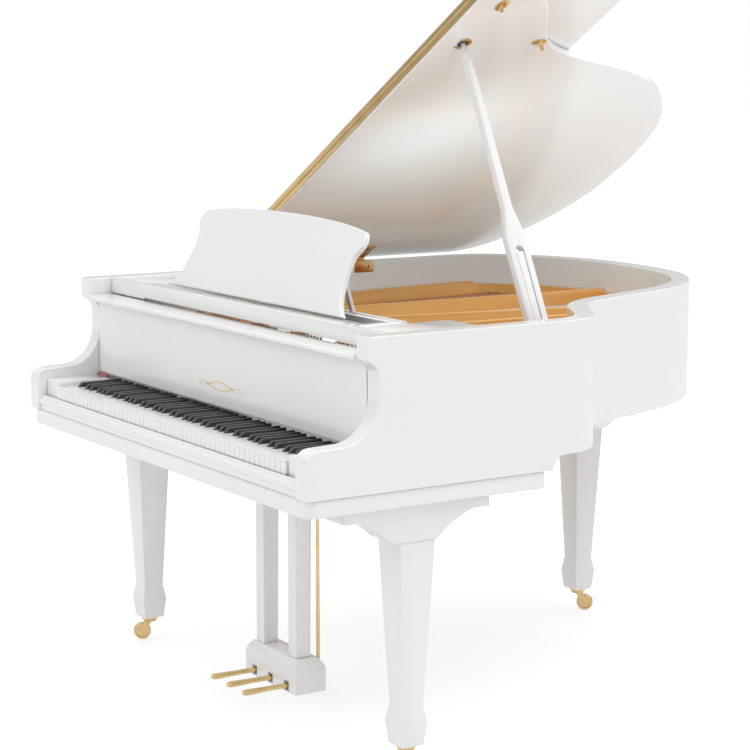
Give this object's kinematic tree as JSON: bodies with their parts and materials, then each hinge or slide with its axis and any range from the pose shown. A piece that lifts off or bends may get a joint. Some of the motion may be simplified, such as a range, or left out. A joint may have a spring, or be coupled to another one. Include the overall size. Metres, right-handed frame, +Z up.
{
  "type": "grand piano",
  "caption": "Small white grand piano on three caster legs, lid propped open with the front flap folded back, music desk raised, keyboard uncovered, pedal lyre below.",
  "frame": {"origin": "on the floor, under the middle of the whole piano's bounding box with the lid propped open", "axes": "+X to the treble side, +Y from the keyboard towards the tail, +Z up"},
  "size_m": [1.5008, 1.684, 1.8217],
  "materials": {
    "lacquer": "high gloss white lacquer over wood",
    "white_key": "polished key tops",
    "black_key": "satin gloss",
    "brass": "polished",
    "plate": "satin gold paint",
    "spruce": "satin varnish",
    "maple": "satin varnish",
    "felt": "wool felt"
  },
  "bodies": {
    "case": {"rim": "lacquer", "inner_rim": "maple", "rear_leg_block": "lacquer", "soundboard": "spruce", "iron_plate": "plate", "pin_block": "maple", "keybed": "lacquer", "key_frame": "lacquer", "key_slip": "lacquer", "front_board": "lacquer", "desk_rail_left": "lacquer", "desk_rail_right": "lacquer", "side_hinge_rear_rim": "brass", "side_hinge_front_rim": "brass", "prop_bracket": "brass", "leg_left": "lacquer", "leg_bracket_left": "lacquer", "leg_right": "lacquer", "leg_bracket_right": "lacquer", "leg_rear": "lacquer", "leg_bracket_rear": "lacquer", "lyre_posts": "lacquer", "lyre_box": "lacquer"},
    "white_bass": {"white_keys_bass": "white_key"},
    "black_bass": {"black_keys_bass": "black_key"},
    "white_middle": {"white_keys_middle": "white_key"},
    "black_middle": {"black_keys_middle": "black_key"},
    "white_treble": {"white_keys_treble": "white_key"},
    "black_treble": {"black_keys_treble": "black_key"},
    "fallboard": {"fallboard": "lacquer", "fallboard_felt": "felt"},
    "desk_tray": {"music_desk_tray": "lacquer"},
    "desk": {"music_desk": "lacquer"},
    "desk_strut": {"music_desk_strut": "lacquer"},
    "lid": {"lid_main": "lacquer", "long_hinge": "brass", "side_hinge_rear_lid": "brass", "side_hinge_front_lid": "brass", "prop_cup": "brass", "lid_catch": "brass", "spare_prop_cup": "brass"},
    "flap": {"lid_flap": "lacquer", "flap_leaf": "brass"},
    "prop": {"lid_prop": "lacquer"},
    "short_prop": {"short_prop": "lacquer"},
    "pedal_soft": {"pedal_soft": "brass"},
    "rod_soft": {"pedal_rod_soft": "brass"},
    "pedal_middle": {"pedal_middle": "brass"},
    "rod_middle": {"pedal_rod_middle": "brass"},
    "pedal_sustain": {"pedal_sustain": "brass"},
    "rod_sustain": {"pedal_rod_sustain": "brass"},
    "caster_left": {"caster_fork_left": "brass"},
    "wheel_left": {"caster_wheel_left": "brass"},
    "caster_right": {"caster_fork_right": "brass"},
    "wheel_right": {"caster_wheel_right": "brass"},
    "caster_rear": {"caster_fork_rear": "brass"},
    "wheel_rear": {"caster_wheel_rear": "brass"}
  },
  "joints": [
    {"name": "white_keys_bass_press", "type": "hinge", "parent": "case", "child": "white_bass", "pos_m": [0.01039, -0.585, 0.74], "axis": [1, 0, 0], "range_deg": [0, 2.4], "stiffness_Nm_per_rad": 40, "springref_deg": -4.58},
    {"name": "black_keys_bass_press", "type": "hinge", "parent": "case", "child": "black_bass", "pos_m": [0.01039, -0.585, 0.74], "axis": [1, 0, 0], "range_deg": [0, 2.4], "stiffness_Nm_per_rad": 20, "springref_deg": -4.58},
    {"name": "white_keys_middle_press", "type": "hinge", "parent": "case", "child": "white_middle", "pos_m": [0.01039, -0.585, 0.74], "axis": [1, 0, 0], "range_deg": [0, 2.4], "stiffness_Nm_per_rad": 40, "springref_deg": -4.58},
    {"name": "black_keys_middle_press", "type": "hinge", "parent": "case", "child": "black_middle", "pos_m": [0.01039, -0.585, 0.74], "axis": [1, 0, 0], "range_deg": [0, 2.4], "stiffness_Nm_per_rad": 20, "springref_deg": -4.58},
    {"name": "white_keys_treble_press", "type": "hinge", "parent": "case", "child": "white_treble", "pos_m": [0.01039, -0.585, 0.74], "axis": [1, 0, 0], "range_deg": [0, 2.4], "stiffness_Nm_per_rad": 40, "springref_deg": -4.58},
    {"name": "black_keys_treble_press", "type": "hinge", "parent": "case", "child": "black_treble", "pos_m": [0.01039, -0.585, 0.74], "axis": [1, 0, 0], "range_deg": [0, 2.4], "stiffness_Nm_per_rad": 20, "springref_deg": -4.58},
    {"name": "fallboard_hinge", "type": "hinge", "parent": "case", "child": "fallboard", "pos_m": [0.01039, -0.642, 0.79], "axis": [1, 0, 0], "range_deg": [0, 90]},
    {"name": "desk_tray_slide", "type": "slide", "parent": "case", "child": "desk_tray", "axis": [0, 1, 0], "range_m": [0, 0.1]},
    {"name": "music_desk_tilt", "type": "hinge", "parent": "desk_tray", "child": "desk", "pos_m": [0.01039, -0.5676, 1.033], "axis": [1, 0, 0], "range_deg": [0, 20]},
    {"name": "desk_strut_fold", "type": "hinge", "parent": "desk", "child": "desk_strut", "pos_m": [0.01039, -0.50123, 1.12563], "axis": [-1, 0, 0], "range_deg": [0, 36]},
    {"name": "lid_hinge", "type": "hinge", "parent": "case", "child": "lid", "pos_m": [-0.73411, 0, 1.03615], "axis": [0, -1, 0], "range_deg": [0, 8]},
    {"name": "flap_hinge", "type": "hinge", "parent": "lid", "child": "flap", "pos_m": [-0.10252, -0.224, 1.43088], "axis": [0.8625, 0, 0.506], "range_deg": [0, 172]},
    {"name": "lid_prop_swing", "type": "hinge", "parent": "case", "child": "prop", "pos_m": [0.66439, -0.152, 0.985], "axis": [0.9023, 0, 0.431], "range_deg": [0, 62]},
    {"name": "short_prop_swing", "type": "hinge", "parent": "prop", "child": "short_prop", "pos_m": [0.64198, -0.152, 1.03192], "axis": [0, -1, 0], "range_deg": [0, 35]},
    {"name": "pedal_soft_press", "type": "hinge", "parent": "case", "child": "pedal_soft", "pos_m": [-0.07161, -0.446, 0.054], "axis": [1, 0, 0], "range_deg": [0, 3.5], "stiffness_Nm_per_rad": 30, "springref_deg": -14.32},
    {"name": "pedal_rod_soft_lift", "type": "slide", "parent": "case", "child": "rod_soft", "axis": [0, 0, 1], "range_m": [0, 0.004]},
    {"name": "pedal_middle_press", "type": "hinge", "parent": "case", "child": "pedal_middle", "pos_m": [0.01039, -0.446, 0.054], "axis": [1, 0, 0], "range_deg": [0, 3.5], "stiffness_Nm_per_rad": 30, "springref_deg": -14.32},
    {"name": "pedal_rod_middle_lift", "type": "slide", "parent": "case", "child": "rod_middle", "axis": [0, 0, 1], "range_m": [0, 0.004]},
    {"name": "pedal_sustain_press", "type": "hinge", "parent": "case", "child": "pedal_sustain", "pos_m": [0.09239, -0.446, 0.054], "axis": [1, 0, 0], "range_deg": [0, 3.5], "stiffness_Nm_per_rad": 30, "springref_deg": -14.32},
    {"name": "pedal_rod_sustain_lift", "type": "slide", "parent": "case", "child": "rod_sustain", "axis": [0, 0, 1], "range_m": [0, 0.004]},
    {"name": "caster_left_swivel", "type": "hinge", "parent": "case", "child": "caster_left", "pos_m": [-0.64961, -0.531, 0.065], "axis": [0, 0, 1], "continuous": true},
    {"name": "wheel_left_spin", "type": "hinge", "parent": "caster_left", "child": "wheel_left", "pos_m": [-0.66143, -0.54955, 0.0245], "axis": [-0.8434, 0.5373, 0], "continuous": true},
    {"name": "caster_right_swivel", "type": "hinge", "parent": "case", "child": "caster_right", "pos_m": [0.67039, -0.531, 0.065], "axis": [0, 0, 1], "continuous": true},
    {"name": "wheel_right_spin", "type": "hinge", "parent": "caster_right", "child": "wheel_right", "pos_m": [0.66287, -0.55167, 0.0245], "axis": [-0.9397, 0.342, 0], "continuous": true},
    {"name": "caster_rear_swivel", "type": "hinge", "parent": "case", "child": "caster_rear", "pos_m": [-0.24761, 0.687, 0.065], "axis": [0, 0, 1], "continuous": true},
    {"name": "wheel_rear_spin", "type": "hinge", "parent": "caster_rear", "child": "wheel_rear", "pos_m": [-0.23579, 0.70555, 0.0245], "axis": [0.8434, -0.5373, 0], "continuous": true}
  ],
  "couplings": [
    {"joint": "pedal_rod_soft_lift", "follows": "pedal_soft_press", "m_per_rad": 0.06},
    {"joint": "pedal_rod_middle_lift", "follows": "pedal_middle_press", "m_per_rad": 0.06},
    {"joint": "pedal_rod_sustain_lift", "follows": "pedal_sustain_press", "m_per_rad": 0.06}
  ]
}
